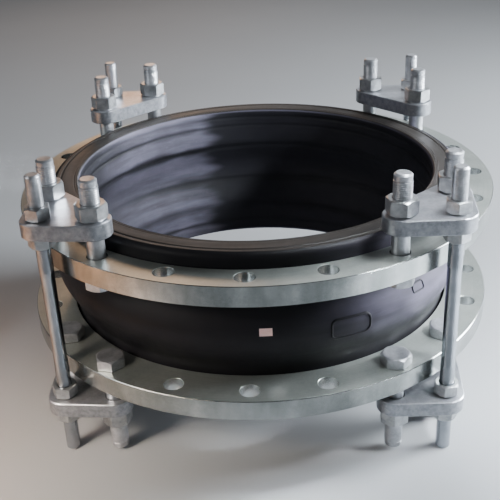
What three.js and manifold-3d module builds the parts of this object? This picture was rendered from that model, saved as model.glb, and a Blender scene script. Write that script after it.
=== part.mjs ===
// Single-arch rubber expansion joint, nominal bore 600 mm, with two floating steel flanges
// and four tie-rod control units. Millimetres, +Z up along the pipe axis, +X right, -Y front.
// The origin is on the axis, level with the lower ends of the tie rods.
import * as THREE from "three";
import { mergeVertices } from "three/addons/utils/BufferGeometryUtils.js";
import Module from "manifold-3d";

const wasm = await Module();
wasm.setup();

// Heights, measured from the mid-plane of the arch unless the name says otherwise
const ROD_HALF_LENGTH = 232;
const MID_HEIGHT = ROD_HALF_LENGTH;
const FACE_TO_FACE = 260;
const RIM_STAND = 22;
const RIM_FACE = FACE_TO_FACE / 2;
const FLANGE_FACE = RIM_FACE - RIM_STAND;
const FLANGE_THICKNESS = 32;
const FLANGE_BACK = FLANGE_FACE - FLANGE_THICKNESS;

// Flanges
const FLANGE_RADIUS = 390;
const BOLT_CIRCLE_RADIUS = 362.5;
const HOLE_COUNT = 20;
const HOLE_RADIUS = 15;
const SEAT_RADIUS = 341;
const SEAT_DEPTH = 3;
const LIP_RADIUS = 324;
const LIP_THICKNESS = 14;

// Rubber bellows: bore, arch and the bead that the flanges hold
const BORE_RADIUS = 294;
const BORE_ARCH_DEPTH = 24;
const BORE_ARCH_HALF = 72;
const NECK_RADIUS = 320;
const ARCH_RISE = 26;
const ARCH_HALF = 76;
const NECK_END = 90;
const BEAD_RADIUS = 339;
const BEAD_START = 106;
const RIM_ROUNDING = 10;
const LINER_THICKNESS = 5;
const COVER_THICKNESS = 5;
const FACE_LAYER_EDGE = 331;
const RIM_INNER_CHAMFER = 3;

// Steel wire rings inside the beads, each in a channel between carcass and cover
const BEAD_RING_RADIUS = 325.75;
const BEAD_RING_SECTION = 4.2;
const BEAD_RING_HEIGHT = 107;
const CHANNEL = { inside: 320.8, outside: 330.5, foot: 98, low: 102, high: 112 };

// Control units: a plate on two flange bolts at each end, tied by one rod
const UNIT_ANGLES = [45, 135, 225, 315];
const HOLE_PITCH = 360 / HOLE_COUNT;
const ROD_CIRCLE_RADIUS = 410;
const PLATE_THICKNESS = 24;
const PLATE_CORNER_RADIUS = 27;
const PLATE_ROD_HOLE_RADIUS = 13;
const UPPER_PLATE_GAP = 34;
const LOWER_PLATE_GAP = 24;

// Fasteners: M27 x 150 flange bolts, M22 tie rods
const BOLT_RADIUS = 13.5;
const BOLT_LENGTH = 150;
const BOLT_HEAD_HEIGHT = 17;
const BOLT_ACROSS_FLATS = 41;
const BOLT_NUT_HEIGHT = 23.8;
const ROD_RADIUS = 11;
const ROD_NUT_HEIGHT = 19.4;
const ROD_ACROSS_FLATS = 34;
const END_CHAMFER = 2.5;

// Where a corner of each hexagon points once tightened, in degrees from +X. The flange bolts
// and their nuts are in number order, and the tie rod nuts in unit order.
const UPPER_BOLT_NUT_TURNS = [42, 28, 0, 5, 2, 3, 42, 25];
const UPPER_BOLT_HEAD_TURNS = [10, 35, 50, 20, 5, 40, 15, 55];
const LOWER_BOLT_HEAD_TURNS = [30, 8, 48, 22, 14, 45, 53, 25];
const LOWER_BOLT_NUT_TURNS = [12, 40, 5, 33, 50, 18, 28, 44];
const ROD_NUT_TURNS = {
  upper: { outer: [20, 50, 45, 22], inner: [5, 35, 15, 40] },
  lower: { outer: [10, 25, 40, 55], inner: [30, 0, 1, 16] },
};

// Label on the front of the arch
const LABEL = { angle: -86, height: 10, width: 18.5, tall: 11, thickness: 0.4 };

// Running and resting gaps, and how finely the round shapes are cut
const GAP = 0.3;
const BORE_CLEARANCE = 0.9;
const RING_SIDES = 40;
const FLANGE_SIDES = 60;
const HOLE_SIDES = 12;
const ROD_SIDES = 12;
const DRILL_OVERRUN = 2;
const ARCH_STEPS = 6;
const RING_CORNERS = 6;

const zinc = { color: 0xb9bcb8, metalness: 0.9, roughness: 0.35 };
const rubber = { color: 0x1b1b1d, metalness: 0, roughness: 0.6 };
const MATERIALS = {
  flange: new THREE.MeshStandardMaterial(zinc),
  plate: new THREE.MeshStandardMaterial({ ...zinc, color: 0xa9a9a6 }),
  fastener: new THREE.MeshStandardMaterial({ ...zinc, color: 0xc9cbc6 }),
  cover: new THREE.MeshStandardMaterial(rubber),
  liner: new THREE.MeshStandardMaterial({ ...rubber, color: 0x3a3a40 }),
  carcass: new THREE.MeshStandardMaterial({ color: 0x6b6450, roughness: 0.9 }),
  wire: new THREE.MeshStandardMaterial({ color: 0x8a7a55, metalness: 0.8 }),
  label: new THREE.MeshStandardMaterial({ color: 0xe9c3bd, roughness: 0.7 }),
};

const joint = new THREE.Group();
const up = (height) => MID_HEIGHT + height;
const radians = THREE.MathUtils.degToRad;

function addMesh(parent, name, geometry, material) {
  const mesh = new THREE.Mesh(geometry, MATERIALS[material]);
  mesh.name = name;
  parent.add(mesh);
  return mesh;
}

// A geometry's solid, and a solid's geometry
function toSolid(geometry) {
  const bare = new THREE.BufferGeometry();
  bare.setAttribute("position", geometry.getAttribute("position"));
  if (geometry.index) bare.setIndex(geometry.index);
  const merged = mergeVertices(bare, 1e-3);
  const vertProperties = new Float32Array(merged.attributes.position.array);
  const triVerts = new Uint32Array(merged.index.array);
  return new wasm.Manifold(new wasm.Mesh({ numProp: 3, vertProperties, triVerts }));
}

function toGeometry(solid) {
  const { vertProperties, triVerts } = solid.getMesh();
  const geometry = new THREE.BufferGeometry();
  geometry.setAttribute("position", new THREE.BufferAttribute(vertProperties, 3));
  geometry.setIndex(new THREE.BufferAttribute(triVerts, 1));
  geometry.computeVertexNormals();
  return geometry;
}

const join = (...pieces) => toGeometry(pieces.map(toSolid).reduce((a, b) => a.add(b)));

const cut = (body, ...tools) =>
  toGeometry(tools.map(toSolid).reduce((a, b) => a.subtract(b), toSolid(body)));

// A ring turned about +Z. The section is a closed list of [radius, height] points.
function turned(section, sides) {
  const points = [...section, section[0]].map(([r, h]) => new THREE.Vector2(r, h));
  return new THREE.LatheGeometry(points, sides).rotateX(Math.PI / 2);
}

// A round bar along +Z from low to high, with both ends chamfered
function bar(radius, low, high, chamfer = 0) {
  const section = [
    [0, low],
    [radius - chamfer, low],
    ...(chamfer ? [[radius, low + chamfer], [radius, high - chamfer]] : []),
    [radius - chamfer, high],
    [0, high],
  ];
  const points = section.map(([r, h]) => new THREE.Vector2(r, h));
  return new THREE.LatheGeometry(points, ROD_SIDES).rotateX(Math.PI / 2);
}

// A hexagonal prism along +Z from low to high
function hexagon(acrossFlats, low, high, turn = 0) {
  const shape = new THREE.Shape();
  for (let corner = 0; corner < 6; corner += 1) {
    const angle = turn + (corner * Math.PI) / 3;
    const reach = acrossFlats / Math.sqrt(3);
    const point = [reach * Math.cos(angle), reach * Math.sin(angle)];
    if (corner) shape.lineTo(...point);
    else shape.moveTo(...point);
  }
  shape.closePath();
  const prism = new THREE.ExtrudeGeometry(shape, { depth: high - low, bevelEnabled: false });
  return prism.translate(0, 0, low);
}

function nut(acrossFlats, boltRadius, low, high, turn) {
  const thread = bar(boltRadius + BORE_CLEARANCE, low - DRILL_OVERRUN, high + DRILL_OVERRUN);
  return cut(hexagon(acrossFlats, low, high, turn), thread);
}

// --- Flanges: a plate ring whose stepped bore holds the bead from behind ---

function flangeGeometry(end) {
  const seatFoot = FLANGE_BACK + LIP_THICKNESS;
  const section = [
    [LIP_RADIUS, FLANGE_BACK],
    [FLANGE_RADIUS, FLANGE_BACK],
    [FLANGE_RADIUS, FLANGE_FACE],
    [SEAT_RADIUS, FLANGE_FACE],
    [SEAT_RADIUS, FLANGE_FACE - SEAT_DEPTH],
    [LIP_RADIUS, seatFoot],
  ];
  const ring = turned(section, FLANGE_SIDES);
  const depth = FLANGE_THICKNESS + 2 * DRILL_OVERRUN;
  const holes = [];
  for (let k = 0; k < HOLE_COUNT; k += 1) {
    const angle = radians(-90 + k * HOLE_PITCH);
    const hole = new THREE.CylinderGeometry(HOLE_RADIUS, HOLE_RADIUS, depth, HOLE_SIDES);
    hole.rotateX(Math.PI / 2);
    hole.translate(
      BOLT_CIRCLE_RADIUS * Math.cos(angle),
      BOLT_CIRCLE_RADIUS * Math.sin(angle),
      FLANGE_FACE - FLANGE_THICKNESS / 2,
    );
    holes.push(hole);
  }
  return placedAtEnd(cut(ring, ...holes), end);
}

// The upper end is drawn above the mid-plane. The lower end is the same shape turned over
// about X, which puts hole k of both ends one above the other.
function placedAtEnd(geometry, end) {
  if (end < 0) geometry.rotateX(Math.PI);
  return geometry.translate(0, 0, MID_HEIGHT);
}

addMesh(joint, "upper_flange", flangeGeometry(1), "flange");
addMesh(joint, "lower_flange", flangeGeometry(-1), "flange");

// --- Rubber bellows: liner, cord carcass and cover, with a wire ring in each bead ---

const bulge = (height, half) =>
  Math.abs(height) < half ? Math.cos((Math.PI * height) / (2 * half)) ** 2 : 0;
const boreRadius = (height) => BORE_RADIUS + BORE_ARCH_DEPTH * bulge(height, BORE_ARCH_HALF);
const archRadius = (height) => NECK_RADIUS + ARCH_RISE * bulge(height, ARCH_HALF);

// Points up an arch surface from -half to half, moved out by an offset
function archLine(radiusAt, half, offset) {
  const line = [];
  for (let step = 0; step <= ARCH_STEPS; step += 1) {
    const height = half * ((2 * step) / ARCH_STEPS - 1);
    line.push([radiusAt(height) + offset, height]);
  }
  return line;
}

// A section that is the same above and below: the upper end's points are mirrored below
function symmetrical(outerUp, outerArch, innerArch, innerUp) {
  const mirror = (points) => points.map(([r, h]) => [r, -h]).reverse();
  const outer = [...mirror(outerUp), ...outerArch, ...outerUp];
  const inner = [...mirror(innerUp), ...innerArch, ...innerUp].reverse();
  return [...outer, ...inner];
}

function linerGeometry() {
  const under = RIM_FACE - LINER_THICKNESS;
  const back = BORE_RADIUS + LINER_THICKNESS;
  const outerUp = [[back, under], [FACE_LAYER_EDGE, under], [FACE_LAYER_EDGE, RIM_FACE]];
  const innerUp = [
    [BORE_RADIUS, RIM_FACE - RIM_INNER_CHAMFER],
    [BORE_RADIUS + RIM_INNER_CHAMFER, RIM_FACE],
  ];
  return turned(
    symmetrical(
      outerUp,
      archLine(boreRadius, BORE_ARCH_HALF, LINER_THICKNESS),
      archLine(boreRadius, BORE_ARCH_HALF, 0),
      innerUp,
    ),
    RING_SIDES,
  );
}

function carcassGeometry() {
  const top = RIM_FACE - LINER_THICKNESS - GAP;
  const inside = LINER_THICKNESS + GAP;
  const outside = -COVER_THICKNESS - GAP;
  const edge = FACE_LAYER_EDGE - GAP;
  const outerUp = [
    [NECK_RADIUS + outside, NECK_END],
    [CHANNEL.inside - GAP, CHANNEL.foot],
    [CHANNEL.inside - GAP, CHANNEL.high + GAP],
    [edge, CHANNEL.high + GAP],
    [edge, top],
  ];
  const innerUp = [[BORE_RADIUS + inside, top]];
  return turned(
    symmetrical(
      outerUp,
      archLine(archRadius, ARCH_HALF, outside),
      archLine(boreRadius, BORE_ARCH_HALF, inside),
      innerUp,
    ),
    RING_SIDES,
  );
}

function coverGeometry() {
  const edge = FACE_LAYER_EDGE + GAP;
  const centre = BEAD_RADIUS - RIM_ROUNDING;
  const rounded = [0, 30, 60].map((degrees) => [
    centre + RIM_ROUNDING * Math.cos(radians(degrees)),
    RIM_FACE - RIM_ROUNDING + RIM_ROUNDING * Math.sin(radians(degrees)),
  ]);
  const lip = RIM_FACE - RIM_ROUNDING + Math.sqrt(RIM_ROUNDING ** 2 - (edge - centre) ** 2);
  const outerUp = [[NECK_RADIUS, NECK_END], [BEAD_RADIUS, BEAD_START], ...rounded, [edge, lip]];
  const innerUp = [
    [NECK_RADIUS - COVER_THICKNESS, NECK_END],
    [CHANNEL.inside, CHANNEL.foot],
    [CHANNEL.inside, CHANNEL.low],
    [CHANNEL.outside, CHANNEL.low],
    [edge, CHANNEL.high],
  ];
  return turned(
    symmetrical(
      outerUp,
      archLine(archRadius, ARCH_HALF, 0),
      archLine(archRadius, ARCH_HALF, -COVER_THICKNESS),
      innerUp,
    ),
    RING_SIDES,
  );
}

function beadRingGeometry(end) {
  const section = [];
  for (let corner = 0; corner < RING_CORNERS; corner += 1) {
    const angle = ((corner + 0.5) * 2 * Math.PI) / RING_CORNERS;
    const reach = BEAD_RING_SECTION / Math.cos(Math.PI / RING_CORNERS);
    section.push([
      BEAD_RING_RADIUS + reach * Math.cos(angle),
      BEAD_RING_HEIGHT + reach * Math.sin(angle),
    ]);
  }
  return placedAtEnd(turned(section, RING_SIDES), end);
}

addMesh(joint, "inner_liner", linerGeometry().translate(0, 0, MID_HEIGHT), "liner");
addMesh(joint, "cord_carcass", carcassGeometry().translate(0, 0, MID_HEIGHT), "carcass");
addMesh(joint, "outer_cover", coverGeometry().translate(0, 0, MID_HEIGHT), "cover");
addMesh(joint, "upper_bead_ring", beadRingGeometry(1), "wire");
addMesh(joint, "lower_bead_ring", beadRingGeometry(-1), "wire");

// A thin curved sticker just clear of the arch
function labelGeometry() {
  const inside = archRadius(LABEL.height - LABEL.tall / 2) + GAP;
  const halfAngle = LABEL.width / 2 / inside;
  const middle = radians(LABEL.angle);
  const shape = new THREE.Shape();
  shape.absarc(0, 0, inside + LABEL.thickness, middle - halfAngle, middle + halfAngle, false);
  shape.absarc(0, 0, inside, middle + halfAngle, middle - halfAngle, true);
  shape.closePath();
  const patch = new THREE.ExtrudeGeometry(shape, {
    depth: LABEL.tall,
    bevelEnabled: false,
    curveSegments: 4,
  });
  return patch.translate(0, 0, up(LABEL.height - LABEL.tall / 2));
}

addMesh(joint, "front_label", labelGeometry(), "label");

// --- Control units ---
// Each unit is drawn with its middle on +X and then turned to its place on the flange.

const boltSpot = (side) => {
  const angle = radians((side * HOLE_PITCH) / 2);
  return [BOLT_CIRCLE_RADIUS * Math.cos(angle), BOLT_CIRCLE_RADIUS * Math.sin(angle)];
};

// Outline round two bolt holes and a rod hole, with rounded corners
function plateShape() {
  const [boltX, boltY] = boltSpot(1);
  const slope = Math.atan2(boltY, ROD_CIRCLE_RADIUS - boltX);
  const shape = new THREE.Shape();
  const r = PLATE_CORNER_RADIUS;
  const facing = Math.PI / 2 - slope;
  shape.absarc(ROD_CIRCLE_RADIUS, 0, r, -facing, facing, false);
  shape.absarc(boltX, boltY, r, facing, Math.PI, false);
  shape.absarc(boltX, -boltY, r, Math.PI, 2 * Math.PI - facing, false);
  shape.closePath();
  return shape;
}

function plateGeometry(low) {
  const plate = new THREE.ExtrudeGeometry(plateShape(), {
    depth: PLATE_THICKNESS,
    bevelEnabled: false,
    curveSegments: 4,
  });
  plate.translate(0, 0, low);
  const drill = (radius, x, y) =>
    bar(radius, low - DRILL_OVERRUN, low + PLATE_THICKNESS + DRILL_OVERRUN).translate(x, y, 0);
  const drills = [
    drill(PLATE_ROD_HOLE_RADIUS, ROD_CIRCLE_RADIUS, 0),
    ...[1, -1].map((side) => drill(HOLE_RADIUS, ...boltSpot(side))),
  ];
  return cut(plate, ...drills);
}

// The upper bolts point up, with their heads under the upper flange
function addUpperBolt(group, number, side, turnFrom) {
  const under = up(FLANGE_BACK) - GAP;
  const tip = under + BOLT_LENGTH;
  const plateTop = up(FLANGE_FACE) + UPPER_PLATE_GAP + PLATE_THICKNESS + GAP;
  const bolt = join(
    bar(BOLT_RADIUS, under - BOLT_HEAD_HEIGHT / 2, tip, END_CHAMFER),
    hexagon(
      BOLT_ACROSS_FLATS,
      under - BOLT_HEAD_HEIGHT,
      under,
      turnFrom(UPPER_BOLT_HEAD_TURNS[number - 1]),
    ),
  );
  const boltNut = nut(
    BOLT_ACROSS_FLATS,
    BOLT_RADIUS,
    plateTop,
    plateTop + BOLT_NUT_HEIGHT,
    turnFrom(UPPER_BOLT_NUT_TURNS[number - 1]),
  );
  const [x, y] = boltSpot(side);
  addMesh(group, `upper_bolt_${number}`, bolt, "fastener").position.set(x, y, 0);
  addMesh(group, `upper_bolt_nut_${number}`, boltNut, "fastener").position.set(x, y, 0);
}

// The lower bolts point down, and each is one solid with its nut
function addLowerBolt(group, number, side, turnFrom) {
  const over = up(-FLANGE_BACK) + GAP;
  const tip = over - BOLT_LENGTH;
  const plateBottom = up(-FLANGE_FACE) - LOWER_PLATE_GAP - PLATE_THICKNESS - GAP;
  const bolt = join(
    bar(BOLT_RADIUS, tip, over + BOLT_HEAD_HEIGHT / 2, END_CHAMFER),
    hexagon(
      BOLT_ACROSS_FLATS,
      over,
      over + BOLT_HEAD_HEIGHT,
      turnFrom(LOWER_BOLT_HEAD_TURNS[number - 1]),
    ),
    hexagon(
      BOLT_ACROSS_FLATS,
      plateBottom - BOLT_NUT_HEIGHT,
      plateBottom,
      turnFrom(LOWER_BOLT_NUT_TURNS[number - 1]),
    ),
  );
  const [x, y] = boltSpot(side);
  addMesh(group, `lower_bolt_${number}`, bolt, "fastener").position.set(x, y, 0);
}

// A tie rod with a nut on each side of both plates
function addTieRod(group, unit, plates, turnFrom) {
  const rod = bar(ROD_RADIUS, 0, 2 * ROD_HALF_LENGTH, END_CHAMFER);
  addMesh(group, `tie_rod_${unit}`, rod, "fastener").position.set(ROD_CIRCLE_RADIUS, 0, 0);
  for (const [end, low] of Object.entries(plates)) {
    const above = low + PLATE_THICKNESS + GAP;
    const below = low - GAP - ROD_NUT_HEIGHT;
    const sides = end === "upper" ? { outer: above, inner: below } : { inner: above, outer: below };
    for (const [side, foot] of Object.entries(sides)) {
      const turn = turnFrom(ROD_NUT_TURNS[end][side][unit - 1]);
      const rodNut = nut(ROD_ACROSS_FLATS, ROD_RADIUS, foot, foot + ROD_NUT_HEIGHT, turn);
      addMesh(group, `${end}_rod_nut_${side}_${unit}`, rodNut, "fastener").position.set(
        ROD_CIRCLE_RADIUS,
        0,
        0,
      );
    }
  }
}

UNIT_ANGLES.forEach((angle, index) => {
  const unit = index + 1;
  const group = new THREE.Group();
  group.rotation.z = radians(angle);
  joint.add(group);
  const turnFrom = (degrees) => radians(degrees - angle);
  const plates = {
    upper: up(FLANGE_FACE) + UPPER_PLATE_GAP,
    lower: up(-FLANGE_FACE) - LOWER_PLATE_GAP - PLATE_THICKNESS,
  };
  addMesh(group, `upper_plate_${unit}`, plateGeometry(plates.upper), "plate");
  addMesh(group, `lower_plate_${unit}`, plateGeometry(plates.lower), "plate");
  [-1, 1].forEach((side, place) => {
    const number = 2 * index + place + 1;
    addUpperBolt(group, number, side, turnFrom);
    addLowerBolt(group, number, side, turnFrom);
  });
  addTieRod(group, unit, plates, turnFrom);
});

export default joint;
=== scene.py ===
"""Rubber expansion joint with floating flanges and four tie-rod control units.

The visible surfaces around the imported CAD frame. Metres, +Z up along the pipe axis, -Y front.
"""

import math

import bpy
from mathutils import Matrix, Vector


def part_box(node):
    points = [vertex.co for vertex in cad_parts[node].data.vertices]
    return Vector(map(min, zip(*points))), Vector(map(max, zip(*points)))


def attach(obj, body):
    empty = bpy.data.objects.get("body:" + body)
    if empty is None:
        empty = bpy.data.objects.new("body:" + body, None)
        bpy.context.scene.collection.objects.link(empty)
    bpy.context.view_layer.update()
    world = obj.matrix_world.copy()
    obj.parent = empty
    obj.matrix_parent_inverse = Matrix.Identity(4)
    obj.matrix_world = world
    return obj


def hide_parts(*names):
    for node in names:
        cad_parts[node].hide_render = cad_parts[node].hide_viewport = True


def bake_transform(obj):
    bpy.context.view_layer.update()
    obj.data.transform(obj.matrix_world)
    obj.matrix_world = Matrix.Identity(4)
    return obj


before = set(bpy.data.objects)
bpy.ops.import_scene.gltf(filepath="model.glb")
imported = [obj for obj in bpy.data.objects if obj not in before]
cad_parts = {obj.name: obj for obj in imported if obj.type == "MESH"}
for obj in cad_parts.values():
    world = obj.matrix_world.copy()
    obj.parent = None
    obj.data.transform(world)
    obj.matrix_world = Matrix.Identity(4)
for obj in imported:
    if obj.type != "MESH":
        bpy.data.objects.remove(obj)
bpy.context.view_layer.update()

MM = 0.001
TAU = 2 * math.pi
UNITS = (1, 2, 3, 4)
BOLTS = (1, 2, 3, 4, 5, 6, 7, 8)

# The mesh attribute that holds how thick the bloom on the rubber is, with painted light and shade laid
# into it
DUST_AND_PAINTED_LIGHT = "dust_and_painted_light"

# How finely round shapes are cut
RING_SIDES = 288
CARCASS_SIDES = 144
BEAD_SIDES = 96
WIRE_SIDES = 8
HOLE_SIDES = 40
BAR_SIDES = 36
RIM_STEPS = 40
BORE_STEPS = 190
ARCH_STEPS = 76
HIDDEN_STEPS = 24
CORNER_STEPS = 6
THREAD_ROWS_A_TURN = 7

# Edges that turn by more than this are shaded sharp
SHARP_ANGLE = math.radians(32)
NUT_SHARP = math.radians(22)
BOLT_SHARP = math.radians(24)
ROD_SHARP = math.radians(30)


# --- Where the frame puts things ---


def low(node):
    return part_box(node)[0].z


def high(node):
    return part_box(node)[1].z


def axis_of(node):
    lowest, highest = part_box(node)
    return (lowest.x + highest.x) / 2, (lowest.y + highest.y) / 2


MID = (low("outer_cover") + high("outer_cover")) / 2
RIM_TOP = high("inner_liner")
FLANGE_TOP = high("upper_flange")
FLANGE_FOOT = low("upper_flange")
FLANGE_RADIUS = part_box("upper_flange")[1].x

# Flanges
BOLT_CIRCLE = 362.5 * MM
HOLE_COUNT = 20
HOLE_RADIUS = 15 * MM
HOLE_CHAMFER = 0.6 * MM
SEAT_RADIUS = 341 * MM
SEAT_DEPTH = 3 * MM
LIP_RADIUS = 324 * MM
LIP_THICKNESS = 14 * MM
FLANGE_EDGE = 1.0 * MM

# Rubber
BORE_RADIUS = 294 * MM
BORE_ARCH_DEPTH = 24 * MM
BORE_ARCH_HALF = 72 * MM
NECK_RADIUS = 320 * MM
ARCH_RISE = 26 * MM
ARCH_HALF = 76 * MM
NECK_END = 90 * MM
BEAD_RADIUS = 339 * MM
BEAD_START = 106 * MM
RIM_ROUNDING = 10 * MM
RIM_EDGE = 3 * MM
LAYER = 5 * MM
LAYER_GAP = 0.3 * MM
FACE_LAYER_EDGE = 331 * MM
COVER_SEAM = FACE_LAYER_EDGE + 0.4 * MM
FACE = RIM_TOP - MID
BEAD_RING_RADIUS = 325.75 * MM
BEAD_WIRE = 0.75 * MM
BORE_RIPPLE = 0.9 * MM
COVER_RIPPLE = 0.45 * MM

# In the sealing faces: one strong moulded line, two faint ones and a slight wave
RIM_LINE = 323.5 * MM
RIM_LINE_HALF = 2.2 * MM
RIM_LINE_DEPTH = 1.1 * MM
FAINT_LINES = (298.5 * MM, 302 * MM)
FAINT_LINE_HALF = 1.2 * MM
FAINT_LINE_DEPTH = 0.35 * MM
RIM_WAVE = 0.12 * MM
RIM_DEPTH = 2.5 * MM

# Wrapping marks in the bore: height above mid-plane, half width, depth, and drift round the axis
WRAP_MARKS = (
    (115 * MM, 5 * MM, 1.2 * MM, 1.5 * MM),
    (98 * MM, 5 * MM, 1.2 * MM, 1 * MM),
    (56 * MM, 8 * MM, 1.6 * MM, 3 * MM),
    (-17 * MM, 7 * MM, 1.6 * MM, 4 * MM),
    (-70 * MM, 8 * MM, 1.5 * MM, 2 * MM),
    (-106 * MM, 5 * MM, 1.0 * MM, 1.5 * MM),
)

# Control plates
PLATE_CORNER = 27 * MM
PLATE_EDGE = 1.3 * MM
ROD_HOLE_RADIUS = 13 * MM

# Fasteners
BOLT_RADIUS = 13.5 * MM
BOLT_PITCH = 3.0 * MM
BOLT_THREAD_LENGTH = 66 * MM
BOLT_ACROSS = 41 * MM
BOLT_HEAD = 17 * MM
BOLT_NUT = 23.8 * MM
ROD_RADIUS = 11 * MM
ROD_PITCH = 2.5 * MM
ROD_ACROSS = 34 * MM
ROD_THREAD_LENGTH = 150 * MM
BOLT_THREAD_DEPTH = 0.4 * MM
ROD_THREAD_DEPTH = 0.2 * MM
NUT_CLEARANCE = 0.1 * MM
NUT_STANDOFF = 1.3 * MM
END_CHAMFER = 2.5 * MM
POINT_LENGTH = 11 * MM
NUT_CHAMFER_ANGLE = math.radians(30)
HEAD_CHAMFER_ANGLE = math.radians(32)
LEAST_CHAMFER = 0.3 * MM

# How far round from each corner a hexagon is blunt, in degrees
BLUNT = 1.3

# Where a thread runs out to, from 0 at its crest to 1 at its root
RUN_OUT_LEVEL = 0.35

# Where a corner of each hexagon points, in degrees from +X, in the order of their numbers
UPPER_BOLT_NUT_TURNS = (42, 28, 0, 5, 2, 3, 42, 25)
UPPER_BOLT_HEAD_TURNS = (10, 35, 50, 20, 5, 40, 15, 55)
LOWER_BOLT_HEAD_TURNS = (30, 8, 48, 22, 14, 45, 53, 25)
LOWER_BOLT_NUT_TURNS = (12, 40, 5, 33, 50, 18, 28, 44)
ROD_NUT_TURNS = {
    "upper_rod_nut_outer": (20, 50, 45, 22),
    "upper_rod_nut_inner": (5, 35, 15, 40),
    "lower_rod_nut_outer": (10, 25, 40, 55),
    "lower_rod_nut_inner": (30, 0, 1, 16),
}

# Patterns in the zinc, per metre, and how far its roughness spreads
MOTTLE = 150
SPANGLES = 260
GRAIN = 900
TURNING_LINES = 420
GLOSS_BELOW = 0.03
GLOSS_ABOVE = 0.06

# Camera: turns in degrees, lens and sensor in millimetres
CAMERA_PLACE = (0.0776, -1.4132, 0.9057)
CAMERA_HEADING = 3.75
CAMERA_TILT = 63.47
CAMERA_ROLL = -2.52
CAMERA_LENS = 64.57
CAMERA_SENSOR = 36
CAMERA_REACH = 50

# Lights
COOL = (0.88, 0.94, 1.0)
NEUTRAL = (0.97, 0.98, 1.0)
WARM = (1.0, 0.56, 0.3)
PALE_WARM = (1.0, 0.86, 0.72)
AMBER = (1.0, 0.46, 0.2)
# Name, place, target, size, power, tint and spread in degrees
LIGHTS = (
    ("key_right", (2.36, 0.4, 0.95), (0.05, 0, 0.22), (1.0, 1.0), 370, COOL, 180),
    ("bore_front", (2.2, -1.0, 1.5), (-0.2, 0.27, 0.25), (0.3, 0.3), 1.5, COOL, 15),
    ("top_right", (0.95, -0.5, 1.2), (0.33, -0.2, 0.26), (0.2, 0.2), 1.0, COOL, 18),
    ("top_front", (0.55, -0.25, 1.3), (0.17, -0.38, 0.34), (0.2, 0.2), 0.42, COOL, 14),
    ("pool_right", (0.98, -0.6, 0.8), (0.88, -0.38, 0), (0.4, 0.7), 26, COOL, 60),
    ("pool_left", (-1.2, -0.65, 0.6), (-1.1, -0.55, 0), (0.6, 0.6), 12, AMBER, 90),
    ("pool_front", (-0.95, -1.0, 0.8), (-0.42, -0.46, 0), (0.4, 0.4), 2.2, PALE_WARM, 38),
    ("fill_left", (-2.4, -1.4, 1.5), (-0.3, -0.3, 0.1), (1.6, 1.2), 26, NEUTRAL, 180),
    ("back_left", (-0.78, 3.35, 1.95), (0, 0, 0.3), (0.66, 1.4), 13, WARM, 180),
    ("back_soft", (0.4, 3.5, 1.7), (0, 0, 0.3), (2.4, 1.6), 12, COOL, 180),
)
SKY = (0.72, 0.76, 0.8)
SKY_STRENGTH = 0.16
FLOOR_REACH = 14.0


# --- Mesh tools ---


def evenly(count):
    return [TAU * step / count for step in range(count)]


def span(start, end, steps):
    return [start + (end - start) * step / steps for step in range(steps + 1)]


def new_object(name, data):
    obj = bpy.data.objects.new(name, data)
    bpy.context.scene.collection.objects.link(obj)
    return obj


def finished_mesh(name, vertices, faces, sharp=SHARP_ANGLE):
    """A mesh shaded smooth but for the edges past the sharp angle."""
    mesh = bpy.data.meshes.new(name)
    mesh.from_pydata(vertices, [], faces)
    mesh.validate()
    mesh.shade_smooth()
    mesh.set_sharp_from_angle(angle=sharp)
    mesh.update()
    return mesh


def lathe(name, section_at, angles, ring=True, sharp=SHARP_ANGLE):
    """A skin round Z. section_at(angle) gives (radius, height) points, anticlockwise and always
    as many. A ring's section closes on itself. Any other starts and ends on the axis."""
    rows = [section_at(angle) for angle in angles]
    turns = len(angles)
    vertices, faces = [], []
    inner = rows if ring else [row[1:-1] for row in rows]
    count = len(inner[0])
    for angle, row in zip(angles, inner):
        vertices += [(r * math.cos(angle), r * math.sin(angle), z) for r, z in row]
    steps = count if ring else count - 1
    for turn in range(turns):
        here, there = turn * count, (turn + 1) % turns * count
        for step in range(steps):
            after = (step + 1) % count
            faces.append((here + step, there + step, there + after, here + after))
    if not ring:
        foot, tip = len(vertices), len(vertices) + 1
        vertices += [(0, 0, rows[0][0][1]), (0, 0, rows[0][-1][1])]
        for turn in range(turns):
            here, there = turn * count, (turn + 1) % turns * count
            faces.append((foot, there, here))
            faces.append((tip, here + count - 1, there + count - 1))
    return finished_mesh(name, vertices, faces, sharp)


def joined(name, meshes):
    """One mesh of several, each with the (x, y) that it is moved by."""
    vertices, faces = [], []
    for mesh, (x, y) in meshes:
        first = len(vertices)
        vertices += [(v.co.x + x, v.co.y + y, v.co.z) for v in mesh.vertices]
        faces += [[first + i for i in face.vertices] for face in mesh.polygons]
        bpy.data.meshes.remove(mesh)
    return finished_mesh(name, vertices, faces)


def cut_away(mesh, tool_mesh):
    """mesh with tool_mesh's closed shapes cut out of it."""
    body = new_object("cutting_body", mesh)
    tool = new_object("cutting_tool", tool_mesh)
    cutter = body.modifiers.new("cut", "BOOLEAN")
    cutter.object = tool
    cutter.solver = "EXACT"
    graph = bpy.context.evaluated_depsgraph_get()
    made = bpy.data.meshes.new_from_object(body.evaluated_get(graph))
    bpy.data.objects.remove(body)
    bpy.data.objects.remove(tool)
    made.shade_smooth()
    made.set_sharp_from_angle(angle=SHARP_ANGLE)
    return made


def drill_section(radius, bottom, top, chamfer):
    """A drill that leaves a chamfer where it enters and leaves the metal."""
    over = 4 * MM
    return [
        (0, bottom - over),
        (radius + chamfer + over, bottom - over),
        (radius, bottom + chamfer),
        (radius, top - chamfer),
        (radius + chamfer + over, top + over),
        (0, top + over),
    ]


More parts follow.
